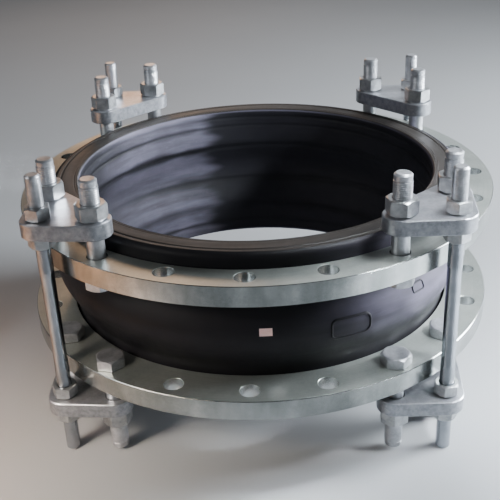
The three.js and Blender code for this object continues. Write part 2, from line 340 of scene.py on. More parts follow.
def drills(spots, bottom, top):
    """One mesh of drills. spots holds (x, y, radius)."""
    tools = []
    for x, y, radius in spots:
        section = drill_section(radius, bottom, top, HOLE_CHAMFER)
        tool = lathe("drill", lambda angle: section, evenly(HOLE_SIDES), ring=False)
        tools.append((tool, (x, y)))
    return joined("drills", tools)


# --- Materials ---


class Shader:
    """A Principled material, with short ways to add nodes to it."""

    def __init__(self, name):
        self.material = bpy.data.materials.new(name)
        self.material.use_nodes = True
        self.tree = self.material.node_tree
        self.surface = self.tree.nodes["Principled BSDF"]

    def node(self, kind, inputs=(), **settings):
        made = self.tree.nodes.new(kind)
        for key, value in settings.items():
            setattr(made, key, value)
        for key, value in dict(inputs).items():
            self.feed(made.inputs[key], value)
        return made

    def feed(self, socket, value):
        if isinstance(value, bpy.types.NodeSocket):
            self.tree.links.new(value, socket)
        else:
            socket.default_value = value

    def set(self, **values):
        for key, value in values.items():
            self.feed(self.surface.inputs[key.replace("_", " ")], value)

    def math(self, operation, a, b):
        return self.node("ShaderNodeMath", {0: a, 1: b}, operation=operation).outputs[0]

    def vector(self, operation, a, b=(0, 0, 0)):
        made = self.node("ShaderNodeVectorMath", {0: a, 1: b}, operation=operation)
        return made.outputs[0]

    def noise(self, vector, scale, detail, roughness=0.55):
        inputs = {"Vector": vector, "Scale": scale, "Detail": detail, "Roughness": roughness}
        return self.node("ShaderNodeTexNoise", inputs).outputs["Fac"]

    def cells(self, vector, scale):
        inputs = {"Vector": vector, "Scale": scale}
        return self.node("ShaderNodeTexVoronoi", inputs).outputs["Color"]

    def remap(self, value, start, end, to_start, to_end):
        inputs = {0: value, 1: start, 2: end, 3: to_start, 4: to_end}
        return self.node("ShaderNodeMapRange", inputs).outputs[0]

    def mix(self, share, a, b):
        made = self.node("ShaderNodeMix", data_type="RGBA")
        self.feed(made.inputs["Factor"], share)
        self.feed(made.inputs[6], a)
        self.feed(made.inputs[7], b)
        return made.outputs[2]

    def bump(self, height, distance, strength, normal=None):
        inputs = {"Height": height, "Distance": distance, "Strength": strength}
        if normal:
            inputs["Normal"] = normal
        return self.node("ShaderNodeBump", inputs).outputs[0]

    def place(self):
        """Object coordinates, moved by a fixed amount of its own for each object."""
        own = self.node("ShaderNodeObjectInfo").outputs["Random"]
        shift = self.vector("SCALE", (3.1, 1.7, 2.3))
        self.feed(shift.node.inputs["Scale"], own)
        return self.vector("ADD", self.node("ShaderNodeTexCoord").outputs["Object"], shift)

    def round_axis(self, along, across):
        """Coordinates that draw a pattern out round the Z axis, with no seam. Their third part grows
        with height and a little less with radius, so that level faces get rings too."""
        place = self.node("ShaderNodeTexCoord").outputs["Object"]
        flat = self.vector("MULTIPLY", place, (1, 1, 0))
        heading = self.vector("NORMALIZE", flat)
        reach = self.node("ShaderNodeVectorMath", {0: flat}, operation="LENGTH").outputs[1]
        parts = self.node("ShaderNodeSeparateXYZ", {0: place})
        level = self.math("ADD", parts.outputs[2], self.math("MULTIPLY", reach, 0.9))
        lifted = self.node("ShaderNodeCombineXYZ", {2: self.math("MULTIPLY", level, across)})
        turned = self.vector("MULTIPLY", heading, (along, along, 0))
        return self.vector("ADD", turned, lifted.outputs[0])


def colour(red, green, blue):
    return (red, green, blue, 1.0)


def zinc(
    name, light, dark, rough, metal, spangle, grain=0.12, patch=22, blur=0.15, streaks=0, reflection_bands=0
):
    """Zinc over steel, between a light and a dark tone: clouds with patch of them to the metre and
    soft by blur, small spangles, a fine grain, streaks round the axis where the steel was turned,
    and upright dark bands of painted reflection along it."""
    s = Shader(name)
    place = s.place()
    cloud = s.noise(place, patch, 4)
    mottle = s.noise(place, MOTTLE, 5, 0.65)
    fleck = s.node("ShaderNodeSeparateColor", {0: s.cells(place, SPANGLES)}).outputs[0]
    tone = s.mix(s.remap(cloud, 0.5 - blur, 0.5 + blur, 0, 1), dark, light)
    shade = s.math("ADD", s.math("MULTIPLY", mottle, 0.6), s.math("MULTIPLY", fleck, 0.4))
    tone = s.mix(spangle, tone, s.mix(shade, colour(0.12, 0.13, 0.14), light))
    wear = s.math("ADD", s.math("MULTIPLY", mottle, 0.5), s.math("MULTIPLY", cloud, 0.5))
    gloss = s.remap(wear, 0.2, 0.8, rough - GLOSS_BELOW, rough + GLOSS_ABOVE)
    relief = s.bump(s.noise(place, GRAIN, 3), 0.06 * MM, grain)
    relief = s.bump(s.noise(place, MOTTLE, 2), 0.2 * MM, grain * 2, relief)
    # Painted reflection: upright dark bands round the axis
    if reflection_bands:
        upright = s.noise(s.round_axis(reflection_bands, 5), 1.0, 3)
        tone = s.mix(s.remap(upright, 0.35, 0.65, 0, 0.75), tone, dark)
    if streaks:
        lines = s.noise(s.round_axis(2.2, TURNING_LINES), 1.0, 4, 0.6)
        gloss = s.math("ADD", gloss, s.remap(lines, 0.3, 0.7, -streaks, streaks))
        tone = s.mix(s.remap(lines, 0.4, 0.7, 0, streaks * 30), tone, dark)
        relief = s.bump(lines, 0.12 * MM, 0.35, relief)
    s.set(Base_Color=tone, Metallic=metal, Roughness=gloss, Normal=relief)
    return s.material


def rubber(name, black, bloom, rough, band_depth, across, specular):
    """Moulded black rubber: a dusty bloom with painted light and shade in it, thick where the mesh's
    attribute says, in bands round the axis with across of them to the metre, scuffs and a fine grain."""
    s = Shader(name)
    place = s.place()
    bands = s.noise(s.round_axis(1.3, across), 1.0, 5, 0.6)
    fine = s.noise(s.round_axis(5.0, across * 9), 1.0, 3, 0.6)
    cloud = s.noise(place, 9, 4, 0.6)
    laid = s.node("ShaderNodeAttribute", attribute_name=DUST_AND_PAINTED_LIGHT).outputs["Fac"]
    uneven = s.math("MULTIPLY", s.remap(bands, 0.36, 0.64, 0.35, 1), s.remap(cloud, 0.3, 0.7, 0.6, 1))
    dust_and_painted_light = s.math("MULTIPLY", laid, uneven)
    scuffs = s.noise(place, 70, 6, 0.7)
    dust_and_painted_light = s.math("ADD", dust_and_painted_light, s.math("MULTIPLY", laid, s.remap(scuffs, 0.6, 0.8, 0, 0.3)))
    gloss = s.remap(bands, 0.3, 0.7, rough - 0.08, rough + 0.1)
    gloss = s.math("ADD", gloss, s.remap(scuffs, 0.3, 0.7, -0.04, 0.06))
    relief = s.bump(s.noise(place, 1100, 2), 0.05 * MM, 0.25)
    relief = s.bump(fine, 0.2 * MM, 0.3, relief)
    relief = s.bump(bands, band_depth, 0.6, relief)
    # Painted light: the bloom colour goes where the attribute holds painted light and shade as well as
    # bloom
    tone = s.mix(dust_and_painted_light, black, bloom)
    s.set(Base_Color=tone, Roughness=gloss, Normal=relief, Specular_IOR_Level=specular)
    return s.material


def cord_fabric():
    """Rubber-coated cord plies: two crossing sets of fine ribs."""
    s = Shader("cord_fabric")
    place = s.node("ShaderNodeTexCoord").outputs["Object"]
    ribs = [
        s.node(
            "ShaderNodeTexWave",
            {"Vector": s.vector("MULTIPLY", place, (1, 1, lean)), "Scale": 160, "Distortion": 1.5},
            bands_direction="DIAGONAL",
        ).outputs["Fac"]
        for lean in (1, -1)
    ]
    weave = s.math("MAXIMUM", *ribs)
    tone = s.mix(weave, colour(0.03, 0.026, 0.02), colour(0.2, 0.17, 0.11))
    s.set(Base_Color=tone, Roughness=0.85, Normal=s.bump(weave, 0.4 * MM, 0.7))
    return s.material


def label_paper():
    """Blank sticker stock, faintly mottled and rubbed."""
    s = Shader("label_paper")
    place = s.place()
    fibre = s.noise(place, 700, 4)
    rubbed = s.noise(place, 160, 3)
    tone = s.mix(s.remap(fibre, 0.3, 0.7, 0, 1), colour(0.93, 0.56, 0.52), colour(0.98, 0.7, 0.66))
    tone = s.mix(s.remap(rubbed, 0.55, 0.8, 0, 0.5), tone, colour(0.72, 0.46, 0.44))
    s.set(Base_Color=tone, Roughness=0.55, Normal=s.bump(fibre, 0.03 * MM, 0.4))
    return s.material


def floor_paint():
    """Pale floor paint, a little cloudy."""
    s = Shader("floor_paint")
    place = s.node("ShaderNodeTexCoord").outputs["Object"]
    cloud = s.noise(place, 1.3, 3)
    tone = s.mix(cloud, colour(0.27, 0.28, 0.29), colour(0.31, 0.32, 0.33))
    s.set(Base_Color=tone, Roughness=0.7)
    return s.material


MATERIALS = {
    "flange": zinc(
        "zinc_flange",
        colour(0.49, 0.52, 0.485),
        colour(0.34, 0.37, 0.345),
        rough=0.33,
        metal=0.78,
        spangle=0.22,
        streaks=0.015,
        grain=0.14,
        patch=14,
    ),
    # The outer edge carries upright bands of painted reflection
    "flange_edge": zinc(
        "zinc_flange_edge",
        colour(0.58, 0.6, 0.58),
        colour(0.17, 0.185, 0.18),
        rough=0.2,
        metal=0.95,
        spangle=0.3,
        grain=0.2,
        patch=13,
        reflection_bands=9,
    ),
    # Hole walls: a lighter copy of the flange zinc, painted light inside the holes
    "flange_hole": zinc(
        "zinc_flange_hole",
        colour(0.64, 0.66, 0.65),
        colour(0.46, 0.48, 0.47),
        rough=0.2,
        metal=0.85,
        spangle=0.15,
    ),
    "plate": zinc(
        "zinc_plate",
        colour(0.56, 0.57, 0.61),
        colour(0.34, 0.35, 0.39),
        rough=0.34,
        metal=0.85,
        spangle=0.35,
        grain=0.35,
        patch=34,
    ),
    "plate_side": zinc(
        "zinc_plate_side",
        colour(0.42, 0.43, 0.46),
        colour(0.24, 0.25, 0.27),
        rough=0.34,
        metal=0.9,
        spangle=0.4,
        grain=0.9,
        patch=120,
        blur=0.14,
    ),
    "bolt": zinc(
        "zinc_bolt",
        colour(0.58, 0.59, 0.62),
        colour(0.36, 0.37, 0.39),
        rough=0.36,
        metal=0.85,
        spangle=0.3,
        grain=0.35,
        patch=60,
    ),
    "nut": zinc(
        "zinc_nut",
        colour(0.56, 0.57, 0.58),
        colour(0.28, 0.29, 0.3),
        rough=0.32,
        metal=0.92,
        spangle=0.35,
        grain=0.35,
        patch=55,
    ),
    "rod": zinc(
        "zinc_rod",
        colour(0.4, 0.42, 0.46),
        colour(0.26, 0.28, 0.3),
        rough=0.19,
        metal=1.0,
        spangle=0.08,
        grain=0.06,
        patch=18,
    ),
    "wire": zinc(
        "bead_wire",
        colour(0.45, 0.33, 0.16),
        colour(0.22, 0.16, 0.09),
        rough=0.4,
        metal=1.0,
        spangle=0.15,
        grain=0.1,
        patch=30,
    ),
    # Its bloom colour also makes the painted sheen on the right of the arch
    "cover": rubber(
        "rubber_cover",
        colour(0.006, 0.006, 0.006),
        colour(0.108, 0.098, 0.142),
        rough=0.52,
        band_depth=0.6 * MM,
        across=36,
        specular=0.16,
    ),
    # Its bloom colour also makes the painted light on the lit side of the bore
    "liner": rubber(
        "rubber_liner",
        colour(0.005, 0.005, 0.007),
        colour(0.122, 0.116, 0.157),
        rough=0.62,
        band_depth=1.4 * MM,
        across=30,
        specular=0.2,
    ),
    "rim": rubber(
        "rubber_rim",
        colour(0.01, 0.009, 0.008),
        colour(0.04, 0.035, 0.032),
        rough=0.5,
        band_depth=0.3 * MM,
        across=30,
        specular=0.25,
    ),
    "cord": cord_fabric(),
    "label": label_paper(),
    "floor": floor_paint(),
}


def only_material(mesh, material):
    mesh.materials.clear()
    mesh.materials.append(MATERIALS[material])


def second_material(mesh, material, wanted):
    """Gives the faces that wanted(face) picks another material than the mesh's first."""
    mesh.materials.append(MATERIALS[material])
    for face in mesh.polygons:
        if wanted(face):
            face.material_index = len(mesh.materials) - 1


def piece(name, mesh, material, body, nodes, at=None):
    """A visible piece that rides on a CAD body and stands for the CAD nodes named."""
    obj = new_object(name, mesh)
    if not mesh.materials:
        mesh.materials.append(MATERIALS[material])
    if at is not None:
        obj.matrix_world = at
    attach(obj, body)
    if nodes:
        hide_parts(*nodes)


def rubber_piece(name, mesh, material, nodes=()):
    """A piece with its placing baked into its mesh, that stands for the CAD nodes named."""
    obj = new_object(name, mesh)
    mesh.materials.append(MATERIALS[material])
    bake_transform(obj)
    if nodes:
        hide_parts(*nodes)
    return obj


# --- Rubber bellows ---


def bulge(height, half):
    """1 at height 0, falling smoothly to 0 at half above and below."""
    return math.cos(math.pi * height / (2 * half)) ** 2 if abs(height) < half else 0.0


def bore_radius(height):
    return BORE_RADIUS + BORE_ARCH_DEPTH * bulge(height, BORE_ARCH_HALF)


def arch_radius(height):
    """The even shape of the arch's outside."""
    return NECK_RADIUS + ARCH_RISE * bulge(height, ARCH_HALF)


def ripple(angle, height, depth):
    """Hand-laid unevenness: slow waves round the axis that drift with height."""
    slow = math.sin(3 * angle + 21 * height + 0.7) + math.sin(5 * angle - 34 * height + 2.1)
    quick = 0.5 * math.sin(11 * angle + 55 * height) + 0.35 * math.sin(17 * angle - 80 * height + 1)
    return depth * (slow + quick) / 2.85


def groove(distance, half_width):
    """1 in the middle of a groove, 0 past its half width, rounded in between."""
    share = abs(distance) / half_width
    return (0.5 + 0.5 * math.cos(math.pi * share)) if share < 1 else 0.0


def wrap_mark(number, angle, height, widened=1.0):
    """How deep in one wrapping mark a place is, from 0 to 1."""
    middle, half, _, drift = WRAP_MARKS[number]
    lean = drift * (math.sin(angle + number) + 0.4 * math.sin(3 * angle + 2 * number)) / 1.4
    strength = 0.75 + 0.25 * math.sin(2 * angle + 1.7 * number)
    return strength * groove(height - middle - lean, half * widened)


def arch_surface(angle, height):
    """The arch's outside with its unevenness, which fades towards the necks."""
    return arch_radius(height) + ripple(angle, height, COVER_RIPPLE) * bulge(height, ARCH_HALF)


def bore_wall(angle, height):
    """The bore with its unevenness and wrapping marks."""
    radius = bore_radius(height) + ripple(angle, height, BORE_RIPPLE)
    for number, (_, _, depth, _) in enumerate(WRAP_MARKS):
        radius += depth * wrap_mark(number, angle, height)
    return radius


def eased(value, start, end):
    """0 up to start, 1 from end on, and smooth in between."""
    share = min(1.0, max(0.0, (value - start) / (end - start)))
    return share * share * (3 - 2 * share)


def facing(angle, degrees):
    """1 on the side of the axis that lies at degrees from +X, and -1 on the other side."""
    return math.cos(angle - math.radians(degrees))


def liner_dust_and_painted_light(angle, height):
    """Bloom on the bore that is also painted light: thick and light at the back left, thin from there
    round the left to the front and hardly any on the right, where the wall is left dark as painted
    shade. It is ragged where it stops, thinner in the arch's recess as painted shade, and worn out
    of the wrapping marks in bands wider than the marks, which is painted shade in the grooves."""
    ragged = 0.03 * math.sin(95 * height + 1) + 0.02 * math.sin(260 * height)
    # Painted light: the left of the bore is lit and the right is left dark as in shade
    side = eased(facing(angle, 200) + ragged, -0.06, 0.08)
    bloom_and_light = 0.04 + 0.96 * eased(facing(angle, 120), 0.64, 0.98)
    # Painted shade: less bloom in the arch's recess
    bloom_and_light *= 1 - 0.35 * bulge(height + 25 * MM, 60 * MM)
    # Painted shade: the bloom is worn out of the wrapping marks in bands wider than the marks
    widened = 1.8 + 0.4 * math.sin(13 * angle + 40 * height) + 0.3 * math.sin(31 * angle)
    groove_wear_and_shade = max(wrap_mark(number, angle, height, widened) for number in range(len(WRAP_MARKS)))
    return (0.06 + 0.94 * side * bloom_and_light) * (1 - min(1.0, 1.1 * groove_wear_and_shade))


def cover_dust_and_painted_sheen(angle, height):
    """Bloom on the cover and a painted sheen: on the right, fading towards the front, the back and
    the lower flange, where the fade is painted shade.
    """
    return 0.08 + 0.92 * eased(facing(angle, -8), 0.3, 0.82) * eased(height, -55 * MM, 12 * MM)


def worn_dust_and_painted_sheen(angle, height):
    """Bloom and painted sheen on what stands proud of the cover, where most of it is rubbed off."""
    return 0.3 * cover_dust_and_painted_sheen(angle, height)


def lay_dust_and_painted_light(mesh, dust_and_painted_light):
    """Writes dust_and_painted_light(angle, height above mid-plane) to the mesh's points: bloom with
    painted light and shade.
    """
    layer = mesh.attributes.new(DUST_AND_PAINTED_LIGHT, "FLOAT", "POINT")
    for vertex, value in zip(mesh.vertices, layer.data):
        x, y, z = vertex.co
        value.value = dust_and_painted_light(math.atan2(y, x), z - MID)
    return mesh


def rim_level(radius, angle):
    """How far the sealing face dips at a radius: one moulded line, two faint ones and a slight wave."""
    dip = RIM_LINE_DEPTH * groove(radius - RIM_LINE, RIM_LINE_HALF)
    for line in FAINT_LINES:
        dip += FAINT_LINE_DEPTH * groove(radius - line, FAINT_LINE_HALF)
    return dip + RIM_WAVE * (1 + math.sin(7 * angle + 300 * radius))


def mirrored(points):
    """The same points below the mid-plane, in the other order."""
    return [(r, -h) for r, h in reversed(points)]


def above_floor(points):
    """Points with heights above the floor, from heights above mid-plane."""
    return [(r, MID + h) for r, h in points]


def liner_section(angle):
    """The layer on the bore and the two sealing faces."""
    rim = span(BORE_RADIUS + RIM_EDGE, FACE_LAYER_EDGE - 0.6 * MM, RIM_STEPS)
    face = [(r, FACE - rim_level(r, angle)) for r in rim]
    edge = [
        (BORE_RADIUS + 0.4 * MM, FACE - RIM_EDGE),
        (BORE_RADIUS + 1.2 * MM, FACE - 1.2 * MM),
    ]
    under = [
        (BORE_RADIUS + LAYER, FACE - LAYER),
        (FACE_LAYER_EDGE, FACE - LAYER),
        (FACE_LAYER_EDGE, FACE - 0.8 * MM),
    ]
    outer = [(bore_radius(h) + LAYER, h) for h in span(-BORE_ARCH_HALF, BORE_ARCH_HALF, HIDDEN_STEPS)]
    wall = [(bore_wall(angle, h), h) for h in span(FACE - LAYER, -FACE + LAYER, BORE_STEPS)]
    upper_side = under + list(reversed(edge + face))
    return above_floor(outer + upper_side + wall + mirrored(upper_side))


def cover_outside():
    """Outer side of the cover, from the arch up to the seam in the sealing face."""
    centre = BEAD_RADIUS - RIM_ROUNDING
    neck = [(NECK_RADIUS, h) for h in span(ARCH_HALF + 2 * MM, NECK_END, 3)]
    flare = [
        (NECK_RADIUS + (BEAD_RADIUS - NECK_RADIUS) * t, NECK_END + (BEAD_START - NECK_END) * t)
        for t in span(0.15, 1, 5)
    ]
    rounded = [
        (centre + RIM_ROUNDING * math.cos(t), FACE - RIM_ROUNDING + RIM_ROUNDING * math.sin(t))
        for t in [math.radians(degrees) for degrees in range(0, 80, 8)]
    ]
    return neck + flare + rounded + [(COVER_SEAM, FACE - 0.15 * MM)]


def cover_section(angle):
    """The outer layer, with the arch."""
    upper = cover_outside()
    arch = [(arch_surface(angle, h), h) for h in span(-ARCH_HALF, ARCH_HALF, ARCH_STEPS)]
    within = [
        (COVER_SEAM, FACE - 6 * MM),
        (COVER_SEAM, BEAD_START + 6 * MM),
        (NECK_RADIUS - LAYER, NECK_END),
    ]
    lining = [(arch_radius(h) - LAYER, h) for h in span(ARCH_HALF, -ARCH_HALF, HIDDEN_STEPS)]
    return above_floor(mirrored(upper) + arch + upper + within + lining + mirrored(within))


def carcass_section(_):
    """The cord plies between the liner and the cover, the same all round."""
    edge = FACE_LAYER_EDGE - LAYER_GAP
    top = FACE - LAYER - LAYER_GAP
    inset = LAYER + LAYER_GAP
    upper_side = [
        (NECK_RADIUS - inset, NECK_END),
        (edge, BEAD_START + 7 * MM),
        (edge, top),
        (BORE_RADIUS + inset, top),
    ]
    outer = [(arch_radius(h) - inset, h) for h in span(-ARCH_HALF, ARCH_HALF, HIDDEN_STEPS)]
    bore = span(BORE_ARCH_HALF, -BORE_ARCH_HALF, HIDDEN_STEPS)
    inner = [(bore_radius(h) + inset, h) for h in bore]
    return above_floor(outer + upper_side + inner + mirrored(upper_side))


def wire_places():
    """Where the wires of a bead core lie across it: one, with two hexagons round it."""
    spots = [(0.0, 0.0)]
    for shell in (1, 2):
        reach = 2 * BEAD_WIRE * shell
        for side in range(6):
            start, end = TAU * side / 6, TAU * (side + 1) / 6
            for step in range(shell):
                share = step / shell
                right = math.cos(start) * (1 - share) + math.cos(end) * share
                rise = math.sin(start) * (1 - share) + math.sin(end) * share
                spots.append((reach * right, reach * rise))
    return spots


def bead_bundle(name, height):
    """A bead core: a hexagonal bundle of wires round the axis."""
    wires = []
    for right, rise in wire_places():
        radius = BEAD_RING_RADIUS + right
        level = height + rise
        turns = evenly(WIRE_SIDES)
        section = [(radius + BEAD_WIRE * math.cos(t), level + BEAD_WIRE * math.sin(t)) for t in turns]
        wires.append((lathe("wire", lambda angle: section, evenly(BEAD_SIDES)), (0, 0)))
    return joined(name, wires)


def on_arch(along, height, proud):
    """A point on the arch: along is the distance round it from +X at the mid-plane."""
    angle = along / arch_radius(0)
    reach = arch_surface(angle, height) + proud
    return (reach * math.cos(angle), reach * math.sin(angle), MID + height)


def rounded_path(width, tall, corner):
    """A rounded rectangle round (0, 0), anticlockwise."""
    path = []
    for number, (right, rise) in enumerate(((1, 1), (-1, 1), (-1, -1), (1, -1))):
        centre = (right * (width / 2 - corner), rise * (tall / 2 - corner))
        for t in span(0, math.pi / 2, CORNER_STEPS):
            turn = t + number * math.pi / 2
            path.append((centre[0] + corner * math.cos(turn), centre[1] + corner * math.sin(turn)))
    return path


def filled_in(path, longest):
    """The same closed path with its long stretches divided."""
    made = []
    for start, end in zip(path, path[1:] + path[:1]):
        parts = max(1, round(math.dist(start, end) / longest))
        for share in span(0, 1, parts)[:-1]:
            made.append(tuple(a + (b - a) * share for a, b in zip(start, end)))
    return made


def raised_outline(angle, height, width, tall, corner, rib, rise):
    """A blank moulded outline, rib wide, that stands proud of the arch by rise."""
    along = math.radians(angle) * arch_radius(0)
    path = filled_in(rounded_path(width, tall, corner), 3 * MM)
    profile = [(math.cos(t) * rib / 2, math.sin(t) * rise) for t in span(0, math.pi, 6)]
    profile = [(profile[0][0], -0.8 * MM)] + profile + [(profile[-1][0], -0.8 * MM)]
    vertices, faces = [], []
    count = len(profile)
    for step, (u, v) in enumerate(path):
        before, after = path[step - 1], path[(step + 1) % len(path)]
        tangent = Vector((after[0] - before[0], after[1] - before[1])).normalized()
        for out, proud in profile:
            spot = (u + tangent.y * out, v - tangent.x * out)
            vertices.append(on_arch(along + spot[0], height + spot[1], proud))
    for step in range(len(path)):
        here, there = step * count, (step + 1) % len(path) * count
        for turn in range(count):
            nxt = (turn + 1) % count
            faces.append((here + turn, there + turn, there + nxt, here + nxt))
    return lay_dust_and_painted_light(finished_mesh("outline", vertices, faces), worn_dust_and_painted_sheen)


def sticker_mesh(angle, height, width, tall):
    """A thin blank label that lies on the arch."""
    along = math.radians(angle) * arch_radius(0)
    columns, rows = 16, 10
    vertices, faces = [], []
    for proud in (0.05 * MM, 0.4 * MM):
        for v in span(-tall / 2, tall / 2, rows):
            for u in span(-width / 2, width / 2, columns):
                vertices.append(on_arch(along + u, height + v, proud))
    wide = columns + 1
    layer = wide * (rows + 1)
    for row in range(rows):
        for column in range(columns):
            first = row * wide + column
            quad = (first, first + 1, first + 1 + wide, first + wide)
            faces.append(tuple(layer + i for i in quad))
            faces.append(tuple(reversed(quad)))
    rim = [*range(wide), *range(2 * wide - 1, layer, wide)]
    rim += [*range(layer - 2, layer - wide - 1, -1), *range(layer - 2 * wide, 0, -wide)]
    for here, there in zip(rim, rim[1:] + rim[:1]):
        faces.append((here, there, layer + there, layer + here))
    return finished_mesh("sticker", vertices, faces)


def full_on_rim(dust_and_painted_light):
    """The same bloom and painted light, but thick all over the sealing faces."""
    return lambda angle, height: 1.0 if abs(height) > FACE - RIM_EDGE else dust_and_painted_light(angle, height)


def on_sealing_face(face):
    outward = face.normal.z * (1 if face.center.z > MID else -1)
    return outward > 0.6 and abs(face.center.z - MID) > FACE - RIM_DEPTH


def make_bellows():
    around = evenly(RING_SIDES)
    liner_mesh = lay_dust_and_painted_light(lathe("liner", liner_section, around), full_on_rim(liner_dust_and_painted_light))
    liner = rubber_piece("bellows_liner", liner_mesh, "liner", ["inner_liner"])
    second_material(liner.data, "rim", on_sealing_face)
    cover_mesh = lay_dust_and_painted_light(lathe("cover", cover_section, around), cover_dust_and_painted_sheen)
    rubber_piece("bellows_cover", cover_mesh, "cover", ["outer_cover"])
    rubber_piece(
        "bellows_cord_plies",
        lathe("carcass", carcass_section, evenly(CARCASS_SIDES)),
        "cord",
        ["cord_carcass"],
    )
    for end, body in (("upper", "upper_bead"), ("lower", "bellows")):
        node = end + "_bead_ring"
        height = (low(node) + high(node)) / 2
        piece(end + "_bead_wires", bead_bundle(node, height), "wire", body, [node])
    large = raised_outline(
        angle=-65,
        height=-1 * MM,
        width=62 * MM,
        tall=31 * MM,
        corner=9 * MM,
        rib=3.8 * MM,
        rise=1.8 * MM,
    )
    small = raised_outline(
        angle=-43.4,
        height=20 * MM,
        width=25 * MM,
        tall=13 * MM,
        corner=4 * MM,
        rib=2.4 * MM,
        rise=1.4 * MM,
    )
    rubber_piece("moulded_outline_large", large, "cover")
    rubber_piece("moulded_outline_small", small, "cover")
    label = sticker_mesh(angle=-85.9, height=9.7 * MM, width=18.5 * MM, tall=11 * MM)
    rubber_piece("sticker", label, "label", ["front_label"])


# --- Flanges ---


def flange_section(_):
    """The upper flange's section, above its own foot at 0 and the same all round."""
    edge = FLANGE_EDGE
    top = FLANGE_TOP - FLANGE_FOOT
    wall = [(FLANGE_RADIUS, edge + (top - 2 * edge) * t) for t in span(0, 1, 8)]
    return [
        (LIP_RADIUS + edge, 0),
        (BOLT_CIRCLE, 0),
        (FLANGE_RADIUS - edge, 0),
        *wall,
        (FLANGE_RADIUS - edge, top),
        (BOLT_CIRCLE, top),
        (SEAT_RADIUS + edge / 2, top),
        (SEAT_RADIUS, top - edge / 2),
        (SEAT_RADIUS, top - SEAT_DEPTH),
        (LIP_RADIUS, LIP_THICKNESS),
        (LIP_RADIUS, edge),
    ]


def on_flange_edge(face):
    return math.hypot(face.center.x, face.center.y) > FLANGE_RADIUS - FLANGE_EDGE


def on_hole_wall(face):
    off_circle = abs(math.hypot(face.center.x, face.center.y) - BOLT_CIRCLE)
    return off_circle < HOLE_RADIUS + HOLE_CHAMFER and abs(face.normal.z) < 0.5


def flange_mesh():
    ring = lathe("flange", flange_section, evenly(RING_SIDES))
    spots = []
    for number in range(HOLE_COUNT):
        angle = TAU * number / HOLE_COUNT - math.pi / 2
        spots.append((BOLT_CIRCLE * math.cos(angle), BOLT_CIRCLE * math.sin(angle), HOLE_RADIUS))
    flange = cut_away(ring, drills(spots, 0, FLANGE_TOP - FLANGE_FOOT))
    only_material(flange, "flange")
    second_material(flange, "flange_edge", on_flange_edge)
    second_material(flange, "flange_hole", on_hole_wall)
    return flange


def make_flanges():
    mesh = flange_mesh()
    upright = Matrix.Translation((0, 0, FLANGE_FOOT))
    over = Matrix.Translation((0, 0, high("lower_flange"))) @ Matrix.Rotation(math.pi, 4, "X")
    piece("flange_upper", mesh, "flange", "upper_frame", ["upper_flange"], upright)
    piece("flange_lower", mesh, "flange", "lower_frame", ["lower_flange"], over)


# --- Control plates ---


def plate_bolt():
    """One of the plate's two bolt holes. The other is its mirror image in the X axis."""
    half_pitch = math.pi / HOLE_COUNT
    return (BOLT_CIRCLE * math.cos(half_pitch), BOLT_CIRCLE * math.sin(half_pitch))


def plate_outline(rod_reach, inset):
    """Round two bolt holes and a rod hole: the plate's middle lies on +X."""
    corner = PLATE_CORNER - inset
    x, y = plate_bolt()
    lean = math.pi / 2 - math.atan2(y, rod_reach - x)
    arcs = (
        ((rod_reach, 0), -lean, lean, 20),
        ((x, y), lean, math.pi, 14),
        ((x, -y), math.pi, TAU - lean, 14),
    )
    outline = []
    for (right, up), start, end, steps in arcs:
        for turn in span(start, end, steps):
            outline.append((right + corner * math.cos(turn), up + corner * math.sin(turn)))
    return outline


def plate_mesh(rod_reach, thickness):
    """A flame-cut plate with eased edges and its three holes."""
    levels = (
        (0, PLATE_EDGE),
        (PLATE_EDGE, 0),
        (thickness / 2, 0),
        (thickness - PLATE_EDGE, 0),
        (thickness, PLATE_EDGE),
    )
    vertices, faces = [], []
    for height, inset in levels:
        outline = filled_in(plate_outline(rod_reach, inset), 6 * MM)
        vertices += [(x, y, height) for x, y in outline]
    count = len(vertices) // len(levels)
    for level in range(len(levels) - 1):
        for step in range(count):
            after = (step + 1) % count
            here, there = level * count, (level + 1) * count
            faces.append((here + step, here + after, there + after, there + step))
    faces.append(tuple(reversed(range(count))))
    faces.append(tuple(range(len(vertices) - count, len(vertices))))
    blank = finished_mesh("plate", vertices, faces)
    x, y = plate_bolt()
    spots = [(x, y, HOLE_RADIUS), (x, -y, HOLE_RADIUS), (rod_reach, 0, ROD_HOLE_RADIUS)]
    plate = cut_away(blank, drills(spots, 0, thickness))
    only_material(plate, "plate")
    second_material(plate, "plate_side", lambda face: abs(face.normal.z) < 0.3)
    return plate


def make_plates():
    thickness = high("upper_plate_1") - low("upper_plate_1")
    mesh = plate_mesh(math.hypot(*axis_of("tie_rod_1")), thickness)
    for end in ("upper", "lower"):
        for unit in UNITS:
            node = f"{end}_plate_{unit}"
            x, y = axis_of(f"tie_rod_{unit}")
            facing_rod = Matrix.Rotation(math.atan2(y, x), 4, "Z")
            place = Matrix.Translation((0, 0, low(node))) @ facing_rod
            name = f"control_plate_{end}_{unit}"
            piece(name, mesh, "plate", end + "_frame", [node], place)


# --- Fasteners ---


def hexagon_angles():
    """Angles round a hexagon with corners at 0, 60, ... degrees, close together at the corners."""
    steps = (0, BLUNT, 6, 12, 18, 24, 30, 36, 42, 48, 54, 60 - BLUNT)
    return [math.radians(60 * side + step) for side in range(6) for step in steps]


def hexagon_reach(angle, across):
    """Distance from the axis to the hexagon's side, with its corners eased."""
    blunt = math.radians(BLUNT)
    local = angle % (math.pi / 3)
    local = min(max(local, blunt), math.pi / 3 - blunt)
    return across / 2 / math.cos(local - math.pi / 6)


